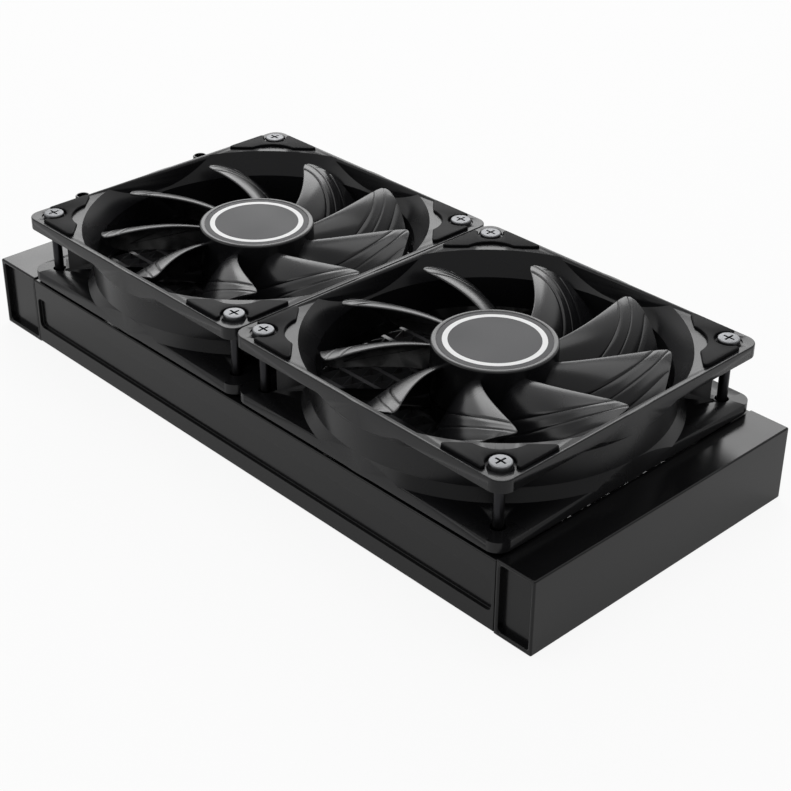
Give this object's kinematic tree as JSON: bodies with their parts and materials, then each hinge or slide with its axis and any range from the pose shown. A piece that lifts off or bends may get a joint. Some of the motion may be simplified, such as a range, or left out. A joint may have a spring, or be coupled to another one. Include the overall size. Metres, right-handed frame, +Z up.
{
  "type": "liquid cooler radiator with fans",
  "caption": "Flat liquid-cooling radiator for a computer processor, with folded fins between two tanks, bare hose spigots and framed axial fans that turn on top.",
  "frame": {"origin": "middle of the radiator's underside, on the plane the tanks stand on", "axes": "+X along the radiator from the deep tank with the spigots to the shallow tank, +Y to the rear across the width, +Z up through the fans"},
  "size_m": [0.276, 0.12, 0.054],
  "materials": {
    "black_enamel": "satin",
    "dark_tube": "satin",
    "dark_fin": "satin",
    "dark_fitting": "satin",
    "frame_plastic": "matte",
    "pad_rubber": "matte",
    "screw_steel": "satin",
    "blade_plastic": "satin",
    "hub_disc": "satin",
    "yoke_steel": "satin",
    "magnet": "matte",
    "shaft_steel": "polished",
    "bearing_bronze": "satin",
    "board": "satin",
    "core_steel": "satin",
    "copper_wire": "satin"
  },
  "bodies": {
    "cooler": {"inlet_tank": "black_enamel", "outlet_tank": "black_enamel", "flow_divider": "black_enamel", "inlet_tank_front_cap": "black_enamel", "inlet_tank_rear_cap": "black_enamel", "outlet_tank_front_cap": "black_enamel", "outlet_tank_rear_cap": "black_enamel", "side_channel_front": "black_enamel", "side_channel_rear": "black_enamel", "flat_tubes": "dark_tube", "cooling_fins": "dark_fin", "front_hose_spigot": "dark_fitting", "rear_hose_spigot": "dark_fitting", "left_fan_frame": "frame_plastic", "left_fan_top_pads": "pad_rubber", "left_fan_low_pads": "pad_rubber", "left_fan_screws": "screw_steel", "left_bearing_sleeve": "bearing_bronze", "left_circuit_board": "board", "left_stator_core": "core_steel", "left_coils": "copper_wire", "right_fan_frame": "frame_plastic", "right_fan_top_pads": "pad_rubber", "right_fan_low_pads": "pad_rubber", "right_fan_screws": "screw_steel", "right_bearing_sleeve": "bearing_bronze", "right_circuit_board": "board", "right_stator_core": "core_steel", "right_coils": "copper_wire"},
    "left_rotor": {"left_impeller": "blade_plastic", "left_hub_label": "hub_disc", "left_rotor_yoke": "yoke_steel", "left_magnet_ring": "magnet", "left_shaft": "shaft_steel"},
    "right_rotor": {"right_impeller": "blade_plastic", "right_hub_label": "hub_disc", "right_rotor_yoke": "yoke_steel", "right_magnet_ring": "magnet", "right_shaft": "shaft_steel"}
  },
  "joints": [
    {"name": "left_fan_spin", "type": "hinge", "parent": "cooler", "child": "left_rotor", "pos_m": [-0.05625, 0, 0.04], "axis": [0, 0, 1], "continuous": true},
    {"name": "right_fan_spin", "type": "hinge", "parent": "cooler", "child": "right_rotor", "pos_m": [0.06375, 0, 0.04], "axis": [0, 0, 1], "continuous": true}
  ]
}
